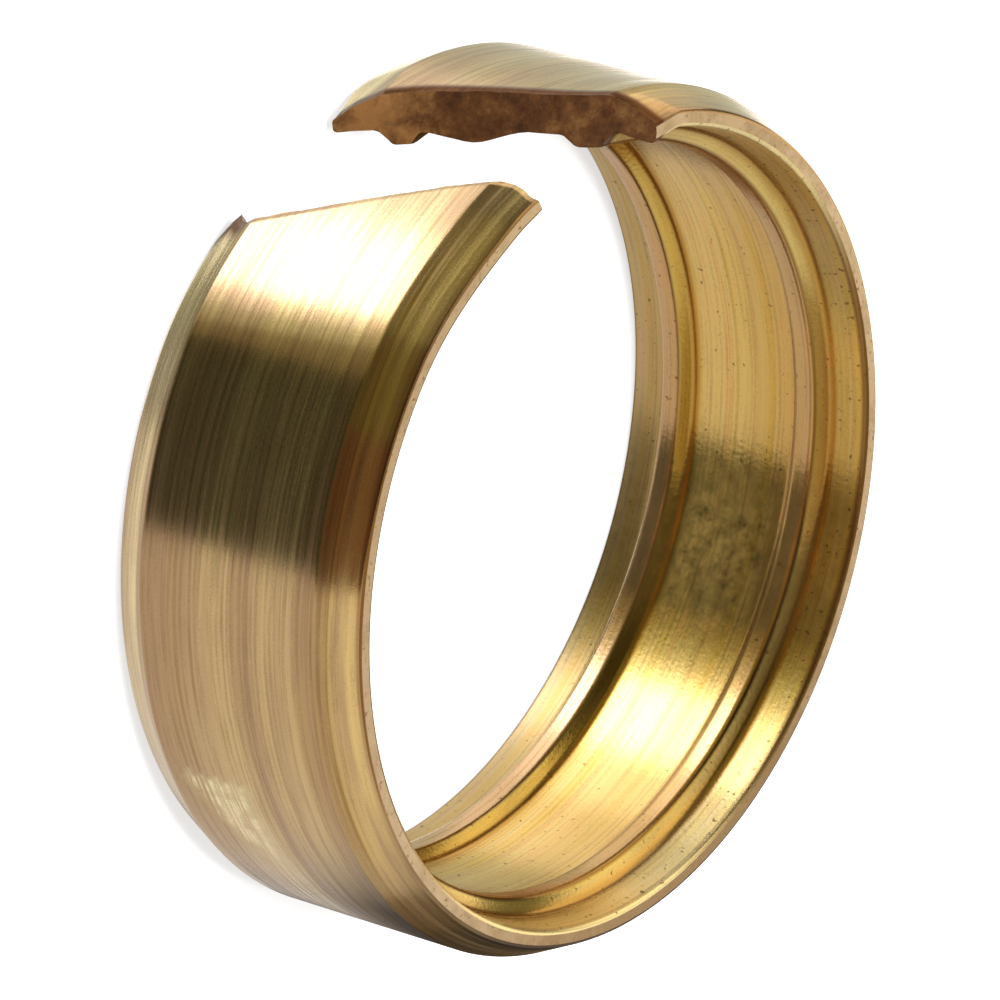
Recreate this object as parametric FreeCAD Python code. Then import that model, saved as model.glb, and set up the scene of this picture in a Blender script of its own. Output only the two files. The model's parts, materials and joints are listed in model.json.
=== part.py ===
import FreeCAD, Part
import math
import os

# Split compression olive for a plastic or multilayer pipe, turned from brass as one ring.
# Millimetres, +Z up. The ring's axis is Z, and the ring lies on its lower end face at z = 0.

# Pipe and bore
pipe_diameter = 20.0        # the pipe that slides through the open ring
pipe_clearance = 0.15       # gap between the pipe and the ribs, on the radius
rib_height = 0.38           # crest of a rib above the middle band
land_relief = 0.12          # how much further out the end lands lie than the middle band

# Ring
wall = 1.17                 # middle band to outer cylinder
width = 7.8                 # end face to end face
cone_length = 1.1           # sloping outer end, along the axis
cone_depth = 0.52           # fall of the sloping outer end, on the radius

# Ribs
rib_setback = 1.66          # end face to the middle of the nearer rib
crest_width = 0.53          # crest from edge to edge, along the axis
flank_length = 0.3          # each sloping side, along the axis

# Corners of the section
foot_round = 0.3            # hollow round where a rib's side meets the bore
crest_break = 0.05          # bevel on the edges of a rib's crest
cone_break = 0.12           # bevel between the outer cylinder and a sloping end
face_break = 0.08           # bevel on the edges of the end faces

# Slit
slit_opening = 27.0         # degrees about the axis between the two cut ends
slit_slant = 27.6           # degrees that the slit leans from the axis
slit_bearing = 225.0        # degrees about the axis to the middle of the slit

rib_radius = pipe_diameter / 2 + pipe_clearance
band_radius = rib_radius + rib_height
land_radius = band_radius + land_relief
outer_radius = band_radius + wall
face_radius = outer_radius - cone_depth


def rib_corners(middle, side):
    # One rib, from its foot on the end land to its foot on the middle band; side is +1 at the upper end.
    crest_edge = side * crest_width / 2
    foot = crest_edge + side * flank_length
    return [
        (land_radius, middle + foot, foot_round),
        (rib_radius, middle + crest_edge, crest_break),
        (rib_radius, middle - crest_edge, crest_break),
        (band_radius, middle - foot, foot_round),
    ]


def section_corners():
    # The ring's section as (radius, height, corner size), with the metal on the left of the way round.
    upper_rib = rib_corners(width - rib_setback, 1)
    lower_rib = rib_corners(rib_setback, -1)
    return [
        (land_radius, 0, face_break),
        (face_radius, 0, face_break),
        (outer_radius, cone_length, cone_break),
        (outer_radius, width - cone_length, cone_break),
        (face_radius, width, face_break),
        (land_radius, width, face_break),
        *upper_rib,
        *reversed(lower_rib),
    ]


def corner_edge(corner, before, after, size):
    # A hollow corner is rounded by the tool's nose, and an outward corner is bevelled.
    back = (before - corner).normalize()
    ahead = (after - corner).normalize()
    is_hollow = ahead.cross(back).y > 0
    if not is_hollow:
        return Part.LineSegment(corner + back * size, corner + ahead * size)
    half_angle = back.getAngle(ahead) / 2
    tangent_length = size / math.tan(half_angle)
    arc_middle = corner + (back + ahead).normalize() * (size / math.sin(half_angle) - size)
    return Part.Arc(corner + back * tangent_length, arc_middle, corner + ahead * tangent_length)


def section_face():
    corners = section_corners()
    points = [FreeCAD.Vector(radius, 0, height) for radius, height, _ in corners]
    following = points[1:] + points[:1]
    turns = [
        corner_edge(corner, points[index - 1], following[index], corners[index][2])
        for index, corner in enumerate(points)
    ]
    edges = []
    for turn, next_turn in zip(turns, turns[1:] + turns[:1]):
        edges.append(turn.toShape())
        edges.append(Part.LineSegment(turn.EndPoint, next_turn.StartPoint).toShape())
    return Part.Face(Part.Wire(edges))


def block_beyond(bearing, side):
    # Everything to one side of a slanted cut through the radial line at this bearing.
    reach = outer_radius + width
    corner = FreeCAD.Vector(0, 0 if side > 0 else -reach, -reach)
    block = Part.makeBox(reach, reach, 2 * reach, corner)
    block.rotate(FreeCAD.Vector(), FreeCAD.Vector(1, 0, 0), slit_slant)
    block.rotate(FreeCAD.Vector(), FreeCAD.Vector(0, 0, 1), bearing)
    block.translate(FreeCAD.Vector(0, 0, width / 2))
    return block


def olive():
    axis = FreeCAD.Vector(0, 0, 1)
    section = section_face()
    section.rotate(FreeCAD.Vector(), axis, slit_bearing)
    whole_ring = section.revolve(FreeCAD.Vector(), axis, 360)
    first_end = block_beyond(slit_bearing - slit_opening / 2, 1)
    second_end = block_beyond(slit_bearing + slit_opening / 2, -1)
    return whole_ring.cut(first_end.common(second_end))


os.makedirs("parts", exist_ok=True)
ring = olive()
ring.exportStep("parts/olive.step")
print("olive: solids", len(ring.Solids), "valid", ring.isValid(), "volume mm3", round(ring.Volume, 2))
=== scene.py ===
import json
import math
from functools import partial

import bmesh
import bpy
from mathutils import Matrix, Vector, noise


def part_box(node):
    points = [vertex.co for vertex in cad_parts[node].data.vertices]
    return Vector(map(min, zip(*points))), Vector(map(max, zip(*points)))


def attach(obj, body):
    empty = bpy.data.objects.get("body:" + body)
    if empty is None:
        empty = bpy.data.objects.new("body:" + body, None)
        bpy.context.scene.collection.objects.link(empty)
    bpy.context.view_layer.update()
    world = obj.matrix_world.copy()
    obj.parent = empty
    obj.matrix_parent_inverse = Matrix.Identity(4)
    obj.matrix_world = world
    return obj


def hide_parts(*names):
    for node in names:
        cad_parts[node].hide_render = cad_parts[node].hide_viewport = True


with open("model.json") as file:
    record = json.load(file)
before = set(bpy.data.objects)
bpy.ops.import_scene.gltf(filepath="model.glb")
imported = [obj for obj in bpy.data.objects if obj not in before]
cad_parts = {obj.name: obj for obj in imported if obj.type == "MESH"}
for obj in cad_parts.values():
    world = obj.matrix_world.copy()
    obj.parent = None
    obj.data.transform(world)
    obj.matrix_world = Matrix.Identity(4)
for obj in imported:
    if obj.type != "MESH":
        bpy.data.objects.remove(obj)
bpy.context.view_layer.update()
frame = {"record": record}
mm = 0.001
mounts = {mount["name"]: mount for mount in frame["record"]["mounts"]}
oliveLow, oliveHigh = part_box("olive")


def linear(hexCode):
    # sRGB hex to the linear colour that shader sockets expect
    channels = [int(hexCode[start:start + 2], 16) / 255 for start in (1, 3, 5)]
    return (*(c / 12.92 if c <= 0.04045 else ((c + 0.055) / 1.055) ** 2.4 for c in channels), 1.0)


def addNode(tree, kind, inputs=(), stops=(), **settings):
    # Adds a node and gives its outputs. Inputs come in socket order, or by name or index in a dictionary;
    # each is a value, another node's output or a list of outputs. Stops fill a colour ramp.
    node = tree.nodes.new(kind)
    for name, value in settings.items():
        setattr(node, name, value)
    for socket, value in inputs.items() if isinstance(inputs, dict) else enumerate(inputs):
        for source in value if isinstance(value, list) else [value]:
            if isinstance(source, bpy.types.NodeSocket):
                tree.links.new(source, node.inputs[socket])
            else:
                node.inputs[socket].default_value = source
    for index, (position, tone) in enumerate(stops):
        elements = node.color_ramp.elements
        element = elements[index] if index < len(elements) else elements.new(position)
        element.position = position
        element.color = linear(tone) if isinstance(tone, str) else (tone, tone, tone, 1.0)
    return node.outputs


def newMaterial(name):
    material = bpy.data.materials.new(name)
    material.use_nodes = True
    tree = material.node_tree
    tree.nodes.clear()
    return material, tree


# Olive: sizes in mm and degrees; the outside, the ribs and the width come from the frame.
olive = {
    "ribRadius": mounts["pipe_bore"]["dims"]["r_mm"],
    "outerRadius": oliveHigh.x / mm,
    "width": (oliveHigh.z - oliveLow.z) / mm,
    "coneLength": 1.1,
    "coneDepth": 0.52,
    "landFoot": 10.61,
    "landEnd": 10.72,
    "bandRadius": 10.53,
    "ribMiddle": 1.66,
    "crestWidth": 0.53,
    "flankLength": 0.3,
    "footRound": 0.3,
    "crestRound": 0.2,
    "coneRound": 0.2,
    "faceRound": 0.12,
    "slitOpening": 27.0,
    "slitSlant": 27.6,
    "slitBearing": 225.0,
    "stepsAround": 400,
    "endCrowding": 0.8,  # 0 spaces the steps evenly, towards 1 they crowd at the slit
    "stepsInRound": 5,
    "rungSpacing": 0.22,
    "rungLeast": 0.012,
    "cellsAcross": 8,
    "weld": 0.0005,
    "faceMargin": 0.004,
    "sharpAngle": 50.0,
}


def roundedLine(corners):
    # corners are (radius, height, rounding); the first and last only give the end faces' direction
    points = []
    steps = olive["stepsInRound"]
    for before, corner, after in zip(corners, corners[1:], corners[2:]):
        here = Vector(corner[:2])
        back = (Vector(before[:2]) - here).normalized()
        ahead = (Vector(after[:2]) - here).normalized()
        half = back.angle(ahead) / 2
        reach = corner[2] / math.tan(half)
        centre = here + (back + ahead).normalized() * corner[2] / math.sin(half)
        start = here + back * reach - centre
        turn = math.pi - 2 * half
        side = 1 if back.cross(ahead) < 0 else -1
        for step in range(steps + 1):
            points.append(centre + Matrix.Rotation(side * turn * step / steps, 2) @ start)
    return points


def radiusAt(line, height):
    for below, above in zip(line, line[1:]):
        if below.y <= height <= above.y and above.y > below.y:
            return below.x + (above.x - below.x) * (height - below.y) / (above.y - below.y)
    return line[0].x if height <= line[0].y else line[-1].x


def sectionLines():
    # the outer and the inner line of the section, from the lower end face to the upper one
    size = olive
    width = size["width"]
    faceRadius = size["outerRadius"] - size["coneDepth"]
    middle = (faceRadius + size["landEnd"]) / 2
    outer = [
        (middle, 0, 0),
        (faceRadius, 0, size["faceRound"]),
        (size["outerRadius"], size["coneLength"], size["coneRound"]),
        (size["outerRadius"], width - size["coneLength"], size["coneRound"]),
        (faceRadius, width, size["faceRound"]),
        (middle, width, 0),
    ]
    halfCrest = size["crestWidth"] / 2
    halfRib = halfCrest + size["flankLength"]
    rib = [
        (size["landFoot"], size["ribMiddle"] - halfRib, size["footRound"]),
        (size["ribRadius"], size["ribMiddle"] - halfCrest, size["crestRound"]),
        (size["ribRadius"], size["ribMiddle"] + halfCrest, size["crestRound"]),
        (size["bandRadius"], size["ribMiddle"] + halfRib, size["footRound"]),
    ]
    mirrored = [(radius, width - height, rounding) for radius, height, rounding in reversed(rib)]
    ends = (size["landEnd"], 0, size["faceRound"]), (size["landEnd"], width, size["faceRound"])
    inner = [(middle, 0, 0), ends[0], *rib, *mirrored, ends[1], (middle, width, 0)]
    return roundedLine(outer), roundedLine(inner)


def sectionMesh():
    # a ladder of quads across the wall; its border is the section's outline
    outer, inner = sectionLines()
    width, least = olive["width"], olive["rungLeast"]
    count = math.ceil(width / olive["rungSpacing"])
    wanted = [point.y for point in outer + inner] + [width * step / count for step in range(count + 1)]
    heights = [0.0]
    for height in sorted(wanted):
        if height - heights[-1] > least and width - height > least:
            heights.append(height)
    heights.append(width)
    cells = olive["cellsAcross"]
    points = []
    for height in heights:
        low, high = radiusAt(inner, height), radiusAt(outer, height)
        points += [((low + (high - low) * cell / cells) * mm, 0, height * mm) for cell in range(cells + 1)]
    faces = []
    for rung in range(len(heights) - 1):
        for cell in range(cells):
            corner = rung * (cells + 1) + cell
            faces.append((corner, corner + 1, corner + cells + 2, corner + cells + 1))
    mesh = bpy.data.meshes.new("oliveSection")
    mesh.from_pydata(points, [], faces)
    return mesh


def sweepTree(materials):
    # sweeps the section round the axis, from one slanted slit face to the other
    tree = bpy.data.node_groups.new("sweptOlive", "GeometryNodeTree")
    sockets = {
        "Section": "NodeSocketGeometry",
        "Steps": "NodeSocketInt",
        "First Bearing": "NodeSocketFloat",
        "Last Bearing": "NodeSocketFloat",
        "Slope": "NodeSocketFloat",
        "Middle Height": "NodeSocketFloat",
        "Crowding": "NodeSocketFloat",
        "Weld": "NodeSocketFloat",
        "Bore Limit": "NodeSocketFloat",
        "Face Limit": "NodeSocketFloat",
    }
    for name, kind in sockets.items():
        tree.interface.new_socket(name=name, in_out="INPUT", socket_type=kind)
    tree.interface.new_socket(name="Olive", in_out="OUTPUT", socket_type="NodeSocketGeometry")
    given = addNode(tree, "NodeGroupInput")

    def leanAt(position):
        # the turn by which the slanted slit trails at a point of the section
        radius, _, height = addNode(tree, "ShaderNodeSeparateXYZ", [position])
        rise = addNode(tree, "ShaderNodeMath", [height, given["Middle Height"]], operation="SUBTRACT")[0]
        slid = addNode(tree, "ShaderNodeMath", [rise, given["Slope"]], operation="MULTIPLY")[0]
        sine = addNode(tree, "ShaderNodeMath", [slid, radius], operation="DIVIDE")[0]
        return addNode(tree, "ShaderNodeMath", [sine], operation="ARCSINE")[0]

    # outline of the section as a closed run of points
    neighbours = addNode(tree, "GeometryNodeInputMeshEdgeNeighbors")[0]
    border = addNode(tree, "FunctionNodeCompare", {2: neighbours, 3: 1},
                     data_type="INT", operation="EQUAL")[0]
    outline = addNode(tree, "GeometryNodeMeshToCurve", {"Mesh": given["Section"], "Selection": border})[0]
    count = addNode(tree, "GeometryNodeAttributeDomainSize", [outline], component="CURVE")["Point Count"]
    rows = addNode(tree, "ShaderNodeMath", [count, 1.0], operation="ADD")[0]
    columns = addNode(tree, "ShaderNodeMath", [given["Steps"], 1.0], operation="ADD")[0]
    grid = addNode(tree, "GeometryNodeMeshGrid", {"Vertices X": columns, "Vertices Y": rows})["Mesh"]

    # each grid column takes the outline's points in turn
    index = addNode(tree, "GeometryNodeInputIndex")[0]
    middle = addNode(tree, "ShaderNodeMath", [index, 0.5], operation="ADD")[0]
    ratio = addNode(tree, "ShaderNodeMath", [middle, rows], operation="DIVIDE")[0]
    column = addNode(tree, "ShaderNodeMath", [ratio], operation="FLOOR")[0]
    passed = addNode(tree, "ShaderNodeMath", [column, rows], operation="MULTIPLY")[0]
    row = addNode(tree, "ShaderNodeMath", [index, passed], operation="SUBTRACT")[0]
    corner = addNode(tree, "ShaderNodeMath", [row, count], operation="MODULO")[0]
    here = addNode(tree, "GeometryNodeInputPosition")[0]
    sample = addNode(tree, "GeometryNodeSampleIndex",
                     {"Geometry": outline, "Value": here, "Index": corner}, data_type="FLOAT_VECTOR")["Value"]

    # and is turned to its own bearing, closer to the next one near the slit
    share = addNode(tree, "ShaderNodeMath", [column, given["Steps"]], operation="DIVIDE")[0]
    phase = addNode(tree, "ShaderNodeMath", [share, math.tau], operation="MULTIPLY")[0]
    wave = addNode(tree, "ShaderNodeMath", [phase], operation="SINE")[0]
    crowd = addNode(tree, "ShaderNodeMath", [wave, given["Crowding"]], operation="MULTIPLY")[0]
    shift = addNode(tree, "ShaderNodeMath", [crowd, math.tau], operation="DIVIDE")[0]
    eased = addNode(tree, "ShaderNodeMath", [share, shift], operation="SUBTRACT")[0]
    swept = addNode(tree, "ShaderNodeMapRange",
                    {0: eased, 3: given["First Bearing"], 4: given["Last Bearing"]})[0]
    angle = addNode(tree, "ShaderNodeMath", [swept, leanAt(sample)], operation="SUBTRACT")[0]
    spot = addNode(tree, "ShaderNodeVectorRotate", {"Vector": sample, "Angle": angle},
                   rotation_type="Z_AXIS")[0]
    skin = addNode(tree, "GeometryNodeSetPosition", {"Geometry": grid, "Position": spot})[0]

    # the section itself closes both ends
    lean = leanAt(here)
    caps = []
    for bearing in (given["First Bearing"], given["Last Bearing"]):
        angle = addNode(tree, "ShaderNodeMath", [bearing, lean], operation="SUBTRACT")[0]
        spot = addNode(tree, "ShaderNodeVectorRotate", {"Vector": here, "Angle": angle},
                       rotation_type="Z_AXIS")[0]
        cap = addNode(tree, "GeometryNodeSetPosition", {"Geometry": given["Section"], "Position": spot})[0]
        caps.append(cap)
    caps[1] = addNode(tree, "GeometryNodeFlipFaces", [caps[1]])[0]
    ends = addNode(tree, "GeometryNodeJoinGeometry", [caps])[0]
    ends = addNode(tree, "GeometryNodeStoreNamedAttribute", {"Geometry": ends, "Name": "cut", "Value": True},
                   data_type="BOOLEAN", domain="FACE")[0]
    whole = addNode(tree, "GeometryNodeJoinGeometry", [[ends, skin]])[0]
    whole = addNode(tree, "GeometryNodeMergeByDistance", {"Geometry": whole, "Distance": given["Weld"]})[0]
    whole = addNode(tree, "GeometryNodeSetShadeSmooth", [whole])[0]

    # a face takes its finish by where it lies
    across, along, height = addNode(tree, "ShaderNodeSeparateXYZ", [here])
    flat = addNode(tree, "ShaderNodeCombineXYZ", [across, along, 0.0])[0]
    reach = addNode(tree, "ShaderNodeVectorMath", [flat], operation="LENGTH")["Value"]
    inBore = addNode(tree, "ShaderNodeMath", [reach, given["Bore Limit"]], operation="LESS_THAN")[0]
    rise = addNode(tree, "ShaderNodeMath", [height, given["Middle Height"]], operation="SUBTRACT")[0]
    fromMiddle = addNode(tree, "ShaderNodeMath", [rise], operation="ABSOLUTE")[0]
    onFace = addNode(tree, "ShaderNodeMath", [fromMiddle, given["Face Limit"]], operation="GREATER_THAN")[0]
    isCut = addNode(tree, "GeometryNodeInputNamedAttribute", ["cut"], data_type="BOOLEAN")[0]
    whole = addNode(tree, "GeometryNodeRealizeInstances", [whole])[0]
    for chosen, name in ((True, "outside"), (inBore, "bore"), (onFace, "face"), (isCut, "cut")):
        finish = {"Geometry": whole, "Selection": chosen, "Material": materials[name]}
        whole = addNode(tree, "GeometryNodeSetMaterial", finish)[0]
    addNode(tree, "NodeGroupOutput", [whole])
    return tree


# Marks of the shear that cut the slit and of use, with some painted light and shade, in mm and degrees.
wear = {
    # torn slit faces and ragged edges at both ends; octaves are (finer by, weight)
    "tearDepth": 0.05,
    "tearGrain": 0.45,
    "tearOctaves": ((1.0, 1.0), (2.7, 0.5), (6.1, 0.25)),
    "tearMean": 0.3,
    "tearWithin": 0.01,
    "edgeRoll": 0.05,
    "edgeRollReach": 0.22,
    "ragged": 0.07,
    "raggedReach": 0.7,
    # the end at the smaller bearing, bent into the bore
    "armBend": 0.22,
    "armUntwist": 0.15,
    "armUntwistHeight": 2.5,
    "armReach": 11.0,
    "noseBend": 0.23,
    "noseHeight": 0.45,
    "noseReach": 1.2,
    "noseShort": 0.32,
    "noseShortHeight": 2.7,
    "noseShortReach": 2.0,
    "noseMiddle": 0.85,
    "noseRounding": 2.0,
    "cornerBend": 0.1,
    "cornerHeight": 0.8,
    "footDrop": 0.5,
    "footShort": 0.15,
    "footHeight": 1.2,
    "footReach": 1.0,
    "lipHeight": 3.45,
    "lipHalf": 1.4,
    "lipRise": 0.4,
    "lipReach": 0.7,
    # the end at the larger bearing, bent in less and drawn out
    "tipBend": 0.27,
    "tipBendReach": 4.5,
    "tipUpright": 0.7,
    "tipGrow": 0.22,
    "tipLead": 0.26,
    "growReach": 3.0,
    "burrGrow": 0.6,
    "burrHeight": 0.38,
    "burrHalf": 0.45,
    "tipBack": 0.48,
    "tipBackHeight": 0.7,
    "tipDip": 0.06,
    "tipDipReach": 1.1,
    "tipDipHeight": 2.2,
    # the patch rubbed flat outside: its ends fade per mm of height and per degree
    "flatBearing": 321.0,
    "flatLength": 24.0,
    "flatLow": 1.2,
    "flatNarrowing": 0.1,
    "flatHigh": 3.9,
    "flatDepth": 0.03,
    "flatFade": 1.8,
    "flatStart": 2.0,
    "flatFill": 1.6,
    "skinFrom": 0.9,
    # tarnish in the bore
    "stainBearing": 92.0,
    "stainHalf": 24.0,
    "stainHeight": 1.5,
    "stainOnRibs": 0.35,
    # brown torn metal beside the slit
    "tornReach": 0.5,
    "tornHeight": 0.4,
    "tornHalf": 0.95,
    "tornFill": 2.0,
    "burrReach": 0.9,
    # marks that lie round one side, each as bearing, half width and strength
    # the end face darker round these bearings
    "faceDull": ((38.0, 70.0, 1.4), (180.0, 34.0, 0.5)),
    # painted light on the bore's lands beside the end faces
    "landBright": ((18.0, 62.0, 1.4), (178.0, 44.0, 1.4)),
    # painted shade on the upper slope
    "rimDark": ((30.0, 80.0, 1.4),),
    # painted shade on the outside wall
    "wallShadeRound": ((356.0, 34.0, 1.5),),
    # how the painted shade on the outside grows towards the upper end
    "wallShadeHeight": 3.4,
    "wallShadeRise": 3.3,
    "wallShadeOnCone": 0.35,
}


def clamped(value):
    return min(1.0, max(0.0, value))


def falloff(value):
    # 1 at 0, easing to nothing at 1
    left = max(0.0, 1 - abs(value))
    return left * left * (3 - 2 * left)


def degreesRound(point):
    return math.degrees(math.atan2(point.y, point.x)) % 360


def placeInRing(point):
    # radius, height and bearing, the slit's lean there, and the ways along the ring to its start and end
    radius, height = math.hypot(point.x, point.y) / mm, point.z / mm
    bearing = math.atan2(point.y, point.x)
    lean = math.asin(math.tan(math.radians(olive["slitSlant"])) * (height - olive["width"] / 2) / radius)
    halfOpening = math.radians(olive["slitOpening"]) / 2
    turn = (bearing + lean - math.radians(olive["slitBearing"])) % math.tau
    fromStart = (turn - halfOpening) * radius
    fromEnd = (math.tau - halfOpening - turn) * radius
    return radius, height, bearing, lean, fromStart, fromEnd


def rubbedShare(point):
    # how far a point lies in the patch rubbed flat on the outside: sharp at its first edge, fading away
    away = degreesRound(point) - wear["flatBearing"]
    height = point.z / mm
    low = wear["flatLow"] + wear["flatNarrowing"] * max(0, away)
    across = clamped(wear["flatFade"] * min(height - low, wear["flatHigh"] - height))
    along = min(1, wear["flatFill"] * falloff(away / wear["flatLength"]))
    return across * clamped(wear["flatStart"] * away) * along


def stainShare(point):
    # tarnish lies on the middle of the bore, opposite the slit's lower end
    away = degreesRound(point) - wear["stainBearing"]
    betweenRibs = abs(point.z / mm - olive["width"] / 2) < wear["stainHeight"]
    return falloff(away / wear["stainHalf"]) * (1.0 if betweenRibs else wear["stainOnRibs"])


def tornShare(point):
    # brown like the cut: the burr at the lower corner of one end, and the edge in the bore at the other
    _, height, _, _, fromStart, fromEnd = placeInRing(point)
    burr = falloff(fromStart / wear["burrReach"]) * falloff((height - wear["tornHeight"]) / wear["tornHalf"])
    edge = falloff(fromEnd / wear["tornReach"])
    return min(1, wear["tornFill"] * max(burr, edge))


def roundShare(name, point):
    # how far a point lies in a mark that covers some bearings only
    bearing = degreesRound(point)
    shares = []
    for middle, half, strength in wear[name]:
        away = (bearing - middle + 180) % 360 - 180
        shares.append(strength * falloff(away / half))
    return min(1, max(shares))


def paintedWallShadeShare(point):
    # painted shade on the outside, thickest where the wall meets the upper sloping end
    height = point.z / mm
    raised = clamped((height - wear["wallShadeHeight"]) / wear["wallShadeRise"])
    onCone = height > olive["width"] - olive["coneLength"]
    return roundShare("wallShadeRound", point) * falloff(1 - raised) * (wear["wallShadeOnCone"] if onCone else 1)


def wornPoint(point):
    # where a point of the turned ring ends up after shearing and use
    radius, height, bearing, lean, fromStart, fromEnd = placeInRing(point)
    nearest = min(fromStart, fromEnd)
    fromTop = olive["width"] - height
    outside = (radius - olive["ribRadius"]) / (olive["outerRadius"] - olive["ribRadius"])
    wallMiddle = (olive["landEnd"] + olive["outerRadius"] - olive["coneDepth"]) / 2
    inward = lengthways = 0.0
    # the shear bent the end at the smaller bearing into the bore, rolled its corners and pushed a lip inward
    bend = wear["armBend"] - wear["armUntwist"] * falloff(fromTop / wear["armUntwistHeight"])
    inward += bend * falloff(fromEnd / wear["armReach"])
    rolled = wear["noseBend"] * falloff(height / wear["noseHeight"])
    rolled += wear["cornerBend"] * falloff(fromTop / wear["cornerHeight"])
    inward += rolled * outside * falloff(fromEnd / wear["noseReach"])
    foot = falloff(fromTop / wear["footHeight"]) * falloff(fromEnd / wear["footReach"]) * (1 - outside)
    inward += wear["footDrop"] * foot
    lip = falloff((height - wear["lipHeight"]) / wear["lipHalf"]) * falloff(fromEnd / wear["lipReach"])
    inward += wear["lipRise"] * lip * (1 - outside)
    nose = falloff(height / wear["noseShortHeight"]) * falloff(fromEnd / wear["noseShortReach"])
    nose *= wear["noseMiddle"] + wear["noseRounding"] * (radius - wallMiddle) ** 2
    lengthways += wear["noseShort"] * nose - wear["footShort"] * foot
    # it bent the other end too and drew it out, with a burr at its lower corner and a dip at its upper one
    upright = max(0.0, fromStart - wear["tipUpright"] * lean * radius)
    inward += wear["tipBend"] * falloff(upright / wear["tipBendReach"])
    grow = wear["tipGrow"] + wear["tipLead"] * (height / olive["width"]) ** 2
    grow += wear["burrGrow"] * falloff((height - wear["burrHeight"]) / wear["burrHalf"])
    grow -= wear["tipBack"] * falloff(fromTop / wear["tipBackHeight"])
    bearing -= grow * falloff(fromStart / wear["growReach"]) / radius
    dip = falloff(fromStart / wear["tipDipReach"]) * falloff(fromTop / wear["tipDipHeight"])
    inward += wear["tipDip"] * dip * outside
    # it left both ragged along the bore, with rolled edges and torn faces
    uneven = noise.noise((height, 0, fromEnd)) * falloff(nearest / wear["raggedReach"])
    inward += wear["ragged"] * uneven * (1 - outside)
    inward += wear["edgeRoll"] * falloff(nearest / wear["edgeRollReach"]) * (2 * outside - 1)
    if nearest < wear["tearWithin"]:
        grain = Vector((radius, height, bearing)) / wear["tearGrain"]
        tear = sum(weight * noise.noise(grain * finer) for finer, weight in wear["tearOctaves"])
        shift = -wear["tearDepth"] * (wear["tearMean"] + tear) / radius
        bearing += shift if fromEnd < fromStart else -shift
    if outside > wear["skinFrom"]:
        inward += wear["flatDepth"] * rubbedShare(point)
    radius = min(radius - inward, olive["outerRadius"])
    height = min(max(height + lengthways, 0.0), olive["width"])
    return Vector((radius * math.cos(bearing), radius * math.sin(bearing), height)) * mm


# Outside of the ring: turned on a lathe, then dulled by handling. Fine rings run round it,
# so lights smear along the axis; some bands are pinker, and one rubbed patch is paler.
# Pitches are in mm; a range is the noise or share that it starts and ends at, and what those become.
outsideBrass = {
    # the bands paint light and shade too: paler sloping ends, a darker band low on the wall and a dark line
    # where the upper slope starts
    "bandsAndPaintedLight": (
        (0.0, "#e6cc9a"), (0.1, "#e0c692"), (0.15, "#b4956a"), (0.28, "#b08f66"), (0.36, "#c7a876"),
        (0.73, "#c5a674"), (0.79, "#ba9a68"), (0.852, "#b08f5e"), (0.86, "#a07c44"), (0.873, "#c6a468"),
        (0.93, "#dcba7a"), (0.98, "#d2b074"), (0.998, "#ac8854"),
    ),
    "line": "#755936",
    "pink": "#aa8866",
    "torn": "#5c3b20",
    "scuff": "#eee0b0",
    # painted shade towards the end face on the upper slope, on one side
    "rim": "#3c2614",
    # painted shade: a dark reflection on one side of the wall, towards the upper end
    "grime": "#2a1a0c",
    "bandDrift": (0.3, 0.7, -0.05, 0.05),
    "pinkRange": (0.45, 0.58, 0.0, 0.8),
    "lineRange": (0.46, 0.64, 0.0, 0.5),
    "scuffStreaks": (0.42, 0.58, 0.0, 0.95),
    "scuffFlecks": (0.38, 0.56, 0.35, 1.0),
    "rimShadeRange": (0.93, 0.985, 0.0, 0.9),
    "roughness": (0.36, 0.66, 0.18, 0.3),
    "wallShadeStrength": 0.9,
    "wallShadeRoughness": 0.3,
    "anisotropy": 0.92,
    "linePitch": 0.075,
    "lineDepth": 0.004,
    "around": 30.0,
    "wornPitch": 0.1125,
    "wornAround": 1.5,
    "wornShare": 0.35,
    "broadPitch": 0.525,
    "patchPitch": 1.3,
    "patchAround": 9.0,
    "patchShare": 0.45,
    "roughPitch": 0.09,
    "roughAround": 15.0,
    "fleck": 0.55,
    "grain": 0.05,
    "grainShare": 0.2,
}


def latheLines(tree, place, pitch, around):
    # noise drawn out round the axis into rings; the real ones are finer than a pixel, so these are coarser
    stretch = (1 / (around * mm), 1 / (around * mm), 1 / (pitch * mm))
    rings = addNode(tree, "ShaderNodeVectorMath", [place, stretch], operation="MULTIPLY")[0]
    return addNode(tree, "ShaderNodeTexNoise", {"Vector": rings, "Scale": 1.0, "Detail": 4.0})[0]


def brokenLines(tree, place, look):
    # long straight rings, each worn away in places, over a fine grain
    lines = latheLines(tree, place, look["linePitch"], look["around"])
    worn = latheLines(tree, place, look["wornPitch"], look["wornAround"])
    grain = addNode(tree, "ShaderNodeTexNoise", {"Vector": place, "Scale": 1 / (look["grain"] * mm)})[0]
    broken = addNode(tree, "ShaderNodeMix", {0: look["wornShare"], 2: lines, 3: worn})[0]
    return addNode(tree, "ShaderNodeMix", {0: look["grainShare"], 2: broken, 3: grain})[0]


def layered(tree, colour, look, layers):
    # lays colours of a look over each other, each by its own share
    for name, share in layers.items():
        colour = addNode(tree, "ShaderNodeMix", {0: share, 6: colour, 7: linear(look[name])},
                         data_type="RGBA")[2]
    return colour


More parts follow.
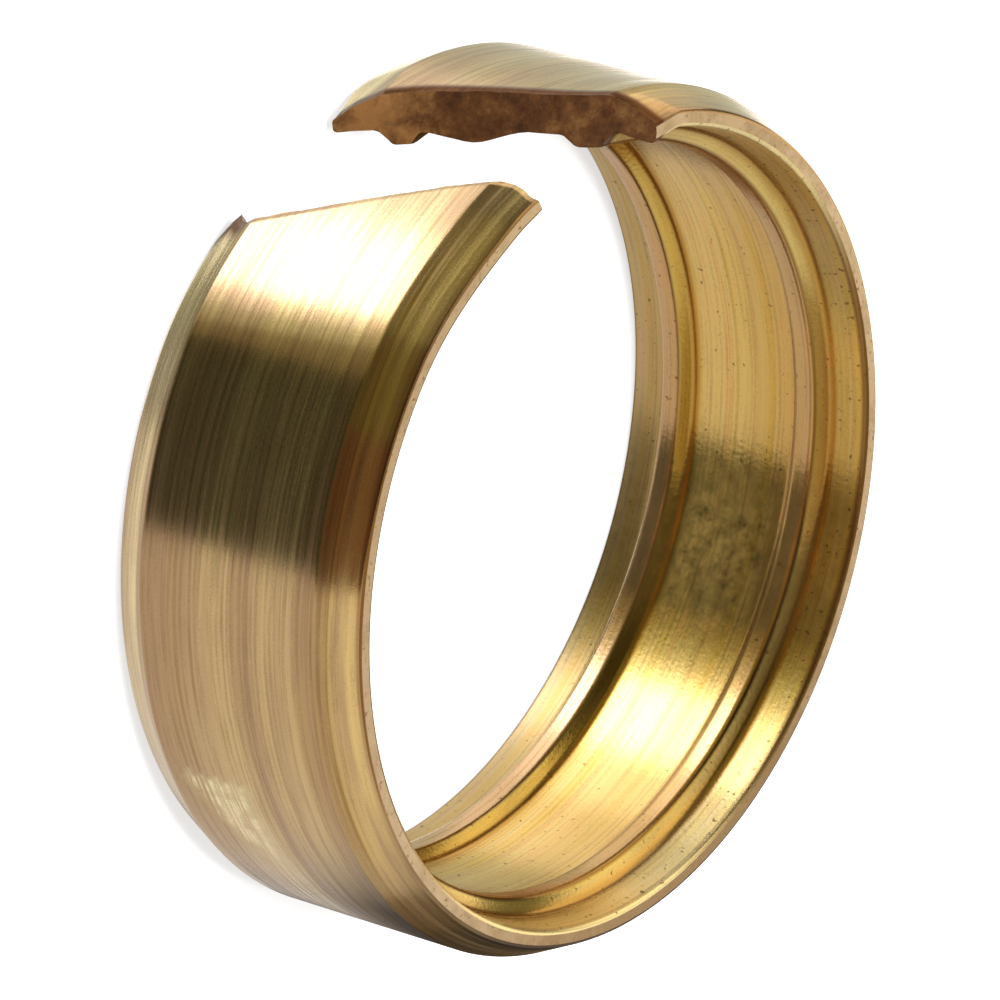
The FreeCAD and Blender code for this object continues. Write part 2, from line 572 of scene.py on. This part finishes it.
def turnedOutsideMaterial():
    look = outsideBrass
    material, tree = newMaterial("brassTurnedOutside")
    place = addNode(tree, "ShaderNodeTexCoord")["Object"]
    lines = brokenLines(tree, place, look)
    broad = latheLines(tree, place, look["broadPitch"], look["around"])
    patches = latheLines(tree, place, look["patchPitch"], look["patchAround"])
    marks = {name: addNode(tree, "ShaderNodeAttribute", attribute_name=name)["Fac"]
             for name in ("scuff", "grime", "rimDark", "torn")}
    # colour bands by the share of the width, which also paint light and shade, their borders wandering with
    # the rings
    height = addNode(tree, "ShaderNodeSeparateXYZ", [place])["Z"]
    share = addNode(tree, "ShaderNodeMath", [height, olive["width"] * mm], operation="DIVIDE")[0]
    drift = addNode(tree, "ShaderNodeMapRange", [broad, *look["bandDrift"]])[0]
    band = addNode(tree, "ShaderNodeMath", [share, drift], operation="ADD")[0]
    bandsAndPaintedLight = addNode(tree, "ShaderNodeValToRGB", [band], look["bandsAndPaintedLight"])[0]
    mottle = addNode(tree, "ShaderNodeMix", {0: look["patchShare"], 2: broad, 3: patches})[0]
    pinker = addNode(tree, "ShaderNodeMapRange", [mottle, *look["pinkRange"]])[0]
    dark = addNode(tree, "ShaderNodeMapRange", [lines, *look["lineRange"]])[0]
    # the rubbed patch is broken up by the rings and by flecks
    streaky = addNode(tree, "ShaderNodeMapRange", [lines, *look["scuffStreaks"]])[0]
    speckle = addNode(tree, "ShaderNodeTexNoise",
                      {"Vector": place, "Scale": 1 / (look["fleck"] * mm), "Detail": 6.0})[0]
    flecks = addNode(tree, "ShaderNodeMapRange", [speckle, *look["scuffFlecks"]])[0]
    flecked = addNode(tree, "ShaderNodeMath", [marks["scuff"], flecks], operation="MULTIPLY")[0]
    scuffed = addNode(tree, "ShaderNodeMath", [flecked, streaky], operation="MULTIPLY")[0]
    # painted shade on one side of the wall, where the surface is also made rougher
    wallShade = addNode(tree, "ShaderNodeMath", [marks["grime"], look["wallShadeStrength"]],
                      operation="MULTIPLY")[0]
    # painted shade towards the end face on the upper slope
    edge = addNode(tree, "ShaderNodeMapRange", [share, *look["rimShadeRange"]])[0]
    rimShadeShare = addNode(tree, "ShaderNodeMath", [marks["rimDark"], edge], operation="MULTIPLY")[0]
    colour = layered(tree, bandsAndPaintedLight, look, {"pink": pinker, "line": dark, "scuff": scuffed, "grime": wallShade,
                                         "rim": rimShadeShare, "torn": marks["torn"]})
    # some rings were left rougher than others, so a light's edge breaks up into streaks
    rings = latheLines(tree, place, look["roughPitch"], look["roughAround"])
    rough = addNode(tree, "ShaderNodeMapRange", [rings, *look["roughness"]])[0]
    rough = addNode(tree, "ShaderNodeMath", [wallShade, look["wallShadeRoughness"], rough],
                    operation="MULTIPLY_ADD")[0]
    relief = {"Strength": 1.0, "Distance": look["lineDepth"] * mm, "Height": lines}
    shader = addNode(tree, "ShaderNodeBsdfPrincipled", {
        "Base Color": colour,
        "Metallic": 1.0,
        "Roughness": rough,
        "Anisotropic": look["anisotropy"],
        "Anisotropic Rotation": 0.25,  # a quarter turn smears lights across the rings
        "Tangent": addNode(tree, "ShaderNodeTangent", direction_type="RADIAL", axis="Z")[0],
        "Normal": addNode(tree, "ShaderNodeBump", relief)[0],
    })
    addNode(tree, "ShaderNodeOutputMaterial", {"Surface": shader["BSDF"]})
    return material


# Bore: bored bright and kept from handling, so it is yellower; fine pits break up what it mirrors.
boreBrass = {
    # the bands paint light and shade too: dark lines along the rib crests' edges and the face edges, darker
    # rib feet and a pale line at one crest's edge
    "bandsAndPaintedLight": (
        (0.0, "#6a4c2c"), (0.008, "#8a6a44"), (0.016, "#bda270"), (0.165, "#bc9f6c"), (0.174, "#e8d6a8"),
        (0.182, "#bb966a"), (0.243, "#bb966a"), (0.247, "#8a6838"), (0.253, "#c4a65c"), (0.272, "#c2a052"),
        (0.288, "#a87a30"), (0.302, "#b88d40"), (0.318, "#d3b16b"), (0.5, "#d0af69"), (0.56, "#c9a661"),
        (0.7, "#c6a35f"), (0.74, "#bc9a62"), (0.8, "#be9868"), (0.82, "#bc9664"), (0.825, "#76542c"),
        (0.832, "#cab06c"), (0.848, "#c6a65c"), (0.864, "#a4762e"), (0.878, "#bd9448"), (0.892, "#ccab62"),
        (0.975, "#d2b26c"), (0.987, "#8c6a3c"),
    ),
    "streaks": ((0.36, "#fff6d2"), (0.5, "#ffffff"), (0.64, "#fff4ee")),
    # painted light for the lands beside the end faces, which the ribs keep in shade
    "bright": "#f6e2a8",
    "line": "#86642c",
    "stain": "#46421a",
    "speck": "#5e4620",
    "torn": "#5c3b20",
    "landLightRange": (0.855, 0.9, 0.0, 0.9),
    "lineRange": (0.48, 0.66, 0.0, 0.5),
    "stainRange": (0.4, 0.66, 0.0, 0.75),
    "speckOnLand": (0.87, 0.9, 0.0, 0.04),
    "speckRange": (0.7, 0.78, 0.0, 0.7),
    "stainMetallic": 0.88,
    # the form tool left the sides of the ribs smoother than the lands
    "roughness": (
        (0.0, 0.42), (0.15, 0.4), (0.18, 0.26), (0.24, 0.26), (0.255, 0.18), (0.29, 0.22), (0.32, 0.26),
        (0.81, 0.26), (0.83, 0.18), (0.86, 0.22), (0.9, 0.32),
    ),
    "anisotropy": 0.88,
    "linePitch": 0.1,
    "lineDepth": 0.003,
    "around": 40.0,
    "wornPitch": 0.15,
    "wornAround": 2.0,
    "wornShare": 0.35,
    "broadPitch": 0.4,
    "grain": 0.05,
    "grainShare": 0.25,
    "pitSize": 0.12,
    "pitDepth": 0.0035,
    "speckSize": 0.15,
    "stainSize": 0.45,
}


def boredInsideMaterial():
    look = boreBrass
    material, tree = newMaterial("brassBoredInside")
    place = addNode(tree, "ShaderNodeTexCoord")["Object"]
    lines = brokenLines(tree, place, look)
    broad = latheLines(tree, place, look["broadPitch"], look["around"])
    marks = {name: addNode(tree, "ShaderNodeAttribute", attribute_name=name)["Fac"]
             for name in ("landBright", "stain", "torn")}
    height = addNode(tree, "ShaderNodeSeparateXYZ", [place])["Z"]
    share = addNode(tree, "ShaderNodeMath", [height, olive["width"] * mm], operation="DIVIDE")[0]
    # colour bands by the share of the width, with painted light and shade at the ribs and faces
    bandsAndPaintedLight = addNode(tree, "ShaderNodeValToRGB", [share], look["bandsAndPaintedLight"])[0]
    # painted light on the lands beside the end faces, which the ribs keep in shade
    mouth = addNode(tree, "ShaderNodeMapRange", [share, *look["landLightRange"]])[0]
    bright = addNode(tree, "ShaderNodeMath", [marks["landBright"], mouth], operation="MULTIPLY")[0]
    base = layered(tree, bandsAndPaintedLight, look, {"bright": bright})
    streaks = addNode(tree, "ShaderNodeValToRGB", [broad], look["streaks"])[0]
    base = addNode(tree, "ShaderNodeMix", {0: 1.0, 6: base, 7: streaks},
                   data_type="RGBA", blend_type="MULTIPLY")[2]
    dark = addNode(tree, "ShaderNodeMapRange", [lines, *look["lineRange"]])[0]
    # blotches of tarnish where the attribute allows them, and rare specks of dirt all over
    cloud = {"Vector": place, "Scale": 1 / (look["stainSize"] * mm), "Detail": 8.0, "Roughness": 0.72}
    blotch = addNode(tree, "ShaderNodeTexNoise", cloud)[0]
    blotch = addNode(tree, "ShaderNodeMapRange", [blotch, *look["stainRange"]])[0]
    stained = addNode(tree, "ShaderNodeMath", [blotch, marks["stain"]], operation="MULTIPLY")[0]
    specks = addNode(tree, "ShaderNodeTexNoise",
                     {"Vector": place, "Scale": 1 / (look["speckSize"] * mm), "Detail": 1.0})[0]
    onLand = addNode(tree, "ShaderNodeMapRange", [share, *look["speckOnLand"]])[0]
    speckled = addNode(tree, "ShaderNodeMath", [specks, onLand], operation="ADD")[0]
    dirt = addNode(tree, "ShaderNodeMapRange", [speckled, *look["speckRange"]])[0]
    colour = layered(tree, base, look, {"line": dark, "stain": stained, "speck": dirt, "torn": marks["torn"]})
    pits = addNode(tree, "ShaderNodeTexNoise",
                   {"Vector": place, "Scale": 1 / (look["pitSize"] * mm), "Detail": 2.0})[0]
    relief = {"Strength": 1.0, "Distance": look["pitDepth"] * mm, "Height": pits}
    dents = addNode(tree, "ShaderNodeBump", relief)[0]
    relief = {"Strength": 1.0, "Distance": look["lineDepth"] * mm, "Height": lines, "Normal": dents}
    dulled = addNode(tree, "ShaderNodeMapRange", {0: marks["stain"], 3: 1.0, 4: look["stainMetallic"]})[0]
    shader = addNode(tree, "ShaderNodeBsdfPrincipled", {
        "Base Color": colour,
        "Metallic": dulled,
        "Roughness": addNode(tree, "ShaderNodeValToRGB", [share], look["roughness"])[0],
        "Anisotropic": look["anisotropy"],
        "Anisotropic Rotation": 0.25,
        "Tangent": addNode(tree, "ShaderNodeTangent", direction_type="RADIAL", axis="Z")[0],
        "Normal": addNode(tree, "ShaderNodeBump", relief)[0],
    })
    addNode(tree, "ShaderNodeOutputMaterial", {"Surface": shader["BSDF"]})
    return material


# End faces: faced off with a worn tool, which leaves them matt, pinkish and finely pitted.
faceBrass = {
    "flesh": "#d8bf9a",
    "dull": "#ae9068",
    "pit": "#a0825c",
    "pitRange": (0.6, 0.75, 0.0, 1.0),
    "mottleRange": (0.4, 0.62, -0.15, 0.35),
    "mottle": 0.9,
    "roughness": 0.5,
    "anisotropy": 0.4,
    "pitSize": 0.14,
    "pitDepth": 0.006,
}


def facedEndMaterial():
    look = faceBrass
    material, tree = newMaterial("brassFacedEnd")
    place = addNode(tree, "ShaderNodeTexCoord")["Object"]
    pits = addNode(tree, "ShaderNodeTexNoise",
                   {"Vector": place, "Scale": 1 / (look["pitSize"] * mm), "Detail": 2.0})[0]
    dip = addNode(tree, "ShaderNodeMapRange", [pits, *look["pitRange"]])[0]
    cloud = {"Vector": place, "Scale": 1 / (look["mottle"] * mm), "Detail": 8.0, "Roughness": 0.7}
    mottle = addNode(tree, "ShaderNodeTexNoise", cloud)[0]
    patchy = addNode(tree, "ShaderNodeMapRange", [mottle, *look["mottleRange"]])[0]
    # darker round some bearings, and in random patches
    darkerSide = addNode(tree, "ShaderNodeAttribute", attribute_name="faceDull")["Fac"]
    side = addNode(tree, "ShaderNodeMath", [darkerSide, patchy], operation="ADD", use_clamp=True)[0]
    relief = {"Strength": 1.0, "Distance": look["pitDepth"] * mm, "Height": dip}
    shader = addNode(tree, "ShaderNodeBsdfPrincipled", {
        "Base Color": layered(tree, linear(look["flesh"]), look, {"dull": side, "pit": dip}),
        "Metallic": 1.0,
        "Roughness": look["roughness"],
        "Anisotropic": look["anisotropy"],
        "Anisotropic Rotation": 0.25,
        "Tangent": addNode(tree, "ShaderNodeTangent", direction_type="RADIAL", axis="Z")[0],
        "Normal": addNode(tree, "ShaderNodeBump", relief, invert=True)[0],
    })
    addNode(tree, "ShaderNodeOutputMaterial", {"Surface": shader["BSDF"]})
    return material


# Slit faces: torn by the shear, so rough and tarnished brown with lighter grains, less so near the lower end.
cutBrass = {
    "browns": ((0.32, "#3e2518"), (0.52, "#634023"), (0.7, "#866038")),
    "pale": "#a87a48",
    "paleDrift": (0.3, 0.7, 0.08, -0.08),
    "paleFirst": (0.04, 0.1, 0.0, 1.0),
    "paleLast": (0.33, 0.18, 0.0, 0.78),
    "metallic": 0.8,
    "roughness": 0.5,
    "patch": 0.7,
    "grain": 0.12,
    "tearDepth": 0.03,
}


def shearedCutMaterial():
    look = cutBrass
    material, tree = newMaterial("brassShearedCut")
    place = addNode(tree, "ShaderNodeTexCoord")["Object"]
    cloud = {"Vector": place, "Scale": 1 / (look["patch"] * mm), "Detail": 9.0, "Roughness": 0.68}
    patch = addNode(tree, "ShaderNodeTexNoise", cloud)[0]
    grain = addNode(tree, "ShaderNodeTexNoise",
                    {"Vector": place, "Scale": 1 / (look["grain"] * mm), "Detail": 2.0})[0]
    browns = addNode(tree, "ShaderNodeValToRGB", [patch], look["browns"])[0]
    height = addNode(tree, "ShaderNodeSeparateXYZ", [place])["Z"]
    share = addNode(tree, "ShaderNodeMath", [height, olive["width"] * mm], operation="DIVIDE")[0]
    drift = addNode(tree, "ShaderNodeMapRange", [patch, *look["paleDrift"]])[0]
    moved = addNode(tree, "ShaderNodeMath", [share, drift], operation="ADD")[0]
    first = addNode(tree, "ShaderNodeMapRange", [moved, *look["paleFirst"]])[0]
    last = addNode(tree, "ShaderNodeMapRange", [moved, *look["paleLast"]])[0]
    paler = addNode(tree, "ShaderNodeMath", [first, last], operation="MULTIPLY")[0]
    relief = {"Strength": 1.0, "Distance": look["tearDepth"] * mm, "Height": grain}
    shader = addNode(tree, "ShaderNodeBsdfPrincipled", {
        "Base Color": layered(tree, browns, look, {"pale": paler}),
        "Metallic": look["metallic"],
        "Roughness": look["roughness"],
        "Normal": addNode(tree, "ShaderNodeBump", relief)[0],
    })
    addNode(tree, "ShaderNodeOutputMaterial", {"Surface": shader["BSDF"]})
    return material


def sweptMesh():
    materials = {
        "outside": turnedOutsideMaterial(),
        "bore": boredInsideMaterial(),
        "face": facedEndMaterial(),
        "cut": shearedCutMaterial(),
    }
    source = bpy.data.objects.new("oliveSource", sectionMesh())
    bpy.context.scene.collection.objects.link(source)
    modifier = source.modifiers.new("sweep", "NODES")
    tree = sweepTree(materials)
    halfOpening = olive["slitOpening"] / 2
    faceMiddle = (olive["landEnd"] + olive["outerRadius"] - olive["coneDepth"]) / 2
    values = {
        "Steps": olive["stepsAround"],
        "First Bearing": math.radians(olive["slitBearing"] + halfOpening),
        "Last Bearing": math.radians(olive["slitBearing"] - halfOpening + 360),
        "Slope": math.tan(math.radians(olive["slitSlant"])),
        "Middle Height": olive["width"] / 2 * mm,
        "Crowding": olive["endCrowding"],
        "Weld": olive["weld"] * mm,
        "Bore Limit": faceMiddle * mm,
        "Face Limit": (olive["width"] / 2 - olive["faceMargin"]) * mm,
    }
    modifier.node_group = tree
    for socket in tree.interface.items_tree:
        if socket.name in values:
            modifier[socket.identifier] = values[socket.name]
    bpy.context.view_layer.update()
    evaluated = source.evaluated_get(bpy.context.evaluated_depsgraph_get())
    mesh = bpy.data.meshes.new_from_object(evaluated)
    mesh.name = "oliveRing"
    bpy.data.objects.remove(source)
    mesh.attributes.remove(mesh.attributes["cut"])
    mesh.materials.pop(index=0)  # the empty slot that a grid starts with
    return mesh


def buildOlive():
    mesh = sweptMesh()
    print("olive swept,", len(mesh.polygons), "faces")
    # besides marks of wear, some of these attributes carry painted light and shade
    shares = {"scuff": rubbedShare, "stain": stainShare, "torn": tornShare, "grime": paintedWallShadeShare}
    shares |= {name: partial(roundShare, name) for name in ("faceDull", "landBright", "rimDark")}
    for name, share in shares.items():
        values = [share(vertex.co) for vertex in mesh.vertices]
        mesh.attributes.new(name, "FLOAT", "POINT").data.foreach_set("value", values)
    for vertex in mesh.vertices:
        vertex.co = wornPoint(vertex.co)
    shell = bmesh.new()
    shell.from_mesh(mesh)
    bmesh.ops.recalc_face_normals(shell, faces=shell.faces)
    shell.to_mesh(mesh)
    shell.free()
    mesh.set_sharp_from_angle(angle=math.radians(olive["sharpAngle"]))
    piece = bpy.data.objects.new("oliveRing", mesh)
    bpy.context.scene.collection.objects.link(piece)
    print("olive worn, finishes", [finish.name for finish in mesh.materials])
    return piece


ring = buildOlive()
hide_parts("olive")
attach(ring, "root")

# Cards round the ring: bearings and elevations in degrees seen from the ring, level 1 = white.
cards = {
    "whiteCardBack": {"bearings": (89.5, 112), "elevations": (-80, -8), "level": 2.6, "tint": "#ffffff"},
    "paleCardBack": {"bearings": (112, 150), "elevations": (-80, -8), "level": 0.96, "tint": "#f2fdee"},
    "paleCardTop": {"bearings": (98, 120), "elevations": (-8, 46), "level": 1.7, "tint": "#fff6e0"},
    "oliveCardTop": {"bearings": (120, 136), "elevations": (-8, 46), "level": 0.15, "tint": "#fdffc4"},
    "paleCardTopLeft": {"bearings": (136, 170), "elevations": (-8, 46), "level": 1.7, "tint": "#fff6e0"},
    "paleCardLeft": {"bearings": (150, 184), "elevations": (-62, -4), "level": 1.8, "tint": "#fbfcff"},
    "softboxEdge": {"bearings": (184, 205), "elevations": (-56, -18), "level": 3.4, "tint": "#e8eeff"},
    "softboxLeft": {"bearings": (205, 229), "elevations": (-48, -22), "level": 11.0, "tint": "#e2e8ff"},
    "softboxFade": {"bearings": (229, 236), "elevations": (-48, -22), "level": 3.0, "tint": "#f0f8ff"},
    "softboxDim": {"bearings": (236, 243.5), "elevations": (-62, -8), "level": 1.1, "tint": "#f6ffe6"},
    "softboxEnd": {"bearings": (243.5, 252), "elevations": (-62, -8), "level": 0.4, "tint": "#fff6c8"},
    "oliveCardLow": {"bearings": (150, 290), "elevations": (-90, -66), "level": 0.14, "tint": "#f7ffe0"},
    "paleCardLow": {"bearings": (205, 236), "elevations": (-62, -48), "level": 1.0, "tint": "#f7ffe0"},
    "oliveCardEdge": {"bearings": (184, 205), "elevations": (-18, 38), "level": 0.25, "tint": "#f7ffe0"},
    "oliveCardLeft": {"bearings": (205, 237), "elevations": (-22, 38), "level": 0.4, "tint": "#fdffc4"},
    "whiteCardHigh": {"bearings": (155, 185), "elevations": (38, 56), "level": 1.7, "tint": "#fff6e0"},
    "flagOverhead": {"bearings": (185, 300), "elevations": (38, 90), "level": 0.05, "tint": "#ffe8b0"},
    "flagLens": {"bearings": (252, 303), "elevations": (-56, -8), "level": 0.092, "tint": "#ecffcc"},
    "flagLensOlive": {"bearings": (237, 266), "elevations": (-8, 38), "level": 0.21, "tint": "#fff2a8"},
    "flagLensBrown": {"bearings": (266, 303), "elevations": (-8, 38), "level": 0.21, "tint": "#ffcca8"},
    "warmCardTop": {"bearings": (303, 515), "elevations": (50, 90), "level": 0.5, "tint": "#ffe0b0"},
    "greyCardBehind": {"bearings": (30, 74), "elevations": (-46, -31), "level": 0.98, "tint": "#ffffff"},
    "dimCardBehind": {"bearings": (28, 44), "elevations": (-22, 12), "level": 0.3, "tint": "#ffe0b0"},
    "flagBehind": {"bearings": (44, 89.5), "elevations": (-31, 2), "level": 0.02, "tint": "#ffc890"},
    "flagBehindLow": {"bearings": (74, 89.5), "elevations": (-80, -31), "level": 0.04, "tint": "#ffc890"},
}

# Studio, in metres and watts; tableGlow is how much of the table the camera sees as plain white.
studio = {
    "cardDistance": 0.4,
    "cardColumns": 12,
    "cardRows": 10,
    "roomLevel": 1.0,
    "tableHalf": 2.0,
    "tableColour": "#f4f4f4",
    "tableGlow": 0.6,
    "lampSize": 0.25,
    "lampPower": 5.0,
    "lampPlace": (-0.08, -0.12, 0.4),
}


def buildCard(name, card):
    # part of a ball round the ring, seen only in reflections
    low, high = card["elevations"]
    first, last = card["bearings"]
    columns, rows = studio["cardColumns"], studio["cardRows"]
    centre = Vector((0, 0, olive["width"] / 2 * mm))
    points = []
    for row in range(rows + 1):
        elevation = math.radians(low + (high - low) * row / rows)
        for column in range(columns + 1):
            bearing = math.radians(first + (last - first) * column / columns)
            away = Vector((math.cos(bearing), math.sin(bearing), 0)) * math.cos(elevation)
            away.z = math.sin(elevation)
            points.append(centre + away * studio["cardDistance"])
    faces = []
    for row in range(rows):
        for column in range(columns):
            corner = row * (columns + 1) + column
            faces.append((corner, corner + 1, corner + columns + 2, corner + columns + 1))
    mesh = bpy.data.meshes.new(name)
    mesh.from_pydata(points, [], faces)
    material, tree = newMaterial(name)
    glow = addNode(tree, "ShaderNodeEmission", {"Color": linear(card["tint"]), "Strength": card["level"]})[0]
    addNode(tree, "ShaderNodeOutputMaterial", {"Surface": glow})
    mesh.materials.append(material)
    panel = bpy.data.objects.new(name, mesh)
    bpy.context.scene.collection.objects.link(panel)
    panel.visible_camera = False
    panel.visible_diffuse = False
    panel.visible_shadow = False


def buildTable():
    # white table, kept out of reflections so the cards under it can be seen there
    half = studio["tableHalf"]
    mesh = bpy.data.meshes.new("table")
    corners = [(-half, -half, 0), (half, -half, 0), (half, half, 0), (-half, half, 0)]
    mesh.from_pydata(corners, [], [(0, 1, 2, 3)])
    material, tree = newMaterial("whiteTable")
    paper = addNode(tree, "ShaderNodeBsdfDiffuse", {"Color": linear(studio["tableColour"])})[0]
    plainWhite = addNode(tree, "ShaderNodeEmission", {"Color": linear("#ffffff"), "Strength": 1.0})[0]
    rays = addNode(tree, "ShaderNodeLightPath")
    seen = addNode(tree, "ShaderNodeMath", [rays["Is Camera Ray"], rays["Is Glossy Ray"]], operation="ADD")[0]
    seen = addNode(tree, "ShaderNodeMath", [seen, rays["Is Transmission Ray"]], operation="ADD")[0]
    share = addNode(tree, "ShaderNodeMath", [seen, studio["tableGlow"]], operation="MULTIPLY")[0]
    sheet = addNode(tree, "ShaderNodeMixShader", [share, paper, plainWhite])[0]
    addNode(tree, "ShaderNodeOutputMaterial", {"Surface": sheet})
    mesh.materials.append(material)
    table = bpy.data.objects.new("table", mesh)
    bpy.context.scene.collection.objects.link(table)
    table.visible_glossy = False


def buildLight():
    world = bpy.data.worlds.new("whiteRoom")
    bpy.context.scene.world = world
    world.use_nodes = True
    background = world.node_tree.nodes["Background"]
    background.inputs["Color"].default_value = linear("#ffffff")
    background.inputs["Strength"].default_value = studio["roomLevel"]
    lamp = bpy.data.lights.new("overhead", "AREA")
    lamp.shape = "DISK"
    lamp.size = studio["lampSize"]
    lamp.energy = studio["lampPower"]
    overhead = bpy.data.objects.new("overhead", lamp)
    overhead.location = studio["lampPlace"]
    overhead.rotation_euler = (-Vector(overhead.location)).to_track_quat("-Z", "Y").to_euler()
    overhead.visible_glossy = False
    bpy.context.scene.collection.objects.link(overhead)


# Camera found by fitting the ring's outlines in the photo; lengths in mm, angles in degrees.
lens = {
    "bearing": 271.084,
    "elevation": 34.633,
    "roll": 105.536,
    "distance": 215.33,
    "aside": 0.234,
    "lower": -0.073,
    "focal": 296.015,
    "sensor": 36.0,
    "nearest": 10.0,
}


def buildCamera():
    camera = bpy.data.cameras.new("photoCamera")
    camera.lens = lens["focal"]
    camera.sensor_width = lens["sensor"]
    camera.sensor_fit = "HORIZONTAL"
    camera.clip_start = lens["nearest"] * mm
    holder = bpy.data.objects.new("photoCamera", camera)
    bpy.context.scene.collection.objects.link(holder)
    bearing, elevation = math.radians(lens["bearing"]), math.radians(lens["elevation"])
    level = math.cos(elevation)
    away = Vector((level * math.cos(bearing), level * math.sin(bearing), math.sin(elevation)))
    turn = away.to_track_quat("Z", "Y").to_matrix() @ Matrix.Rotation(math.radians(lens["roll"]), 3, "Z")
    centre = Vector((0, 0, olive["width"] / 2))
    spot = centre + away * lens["distance"] - turn.col[0] * lens["aside"] + turn.col[1] * lens["lower"]
    holder.matrix_world = Matrix.Translation(spot * mm) @ turn.to_4x4()
    bpy.context.scene.camera = holder


for name, card in cards.items():
    buildCard(name, card)
buildTable()
buildLight()
buildCamera()
bpy.context.scene.view_settings.view_transform = "Standard"
print("studio and camera placed")
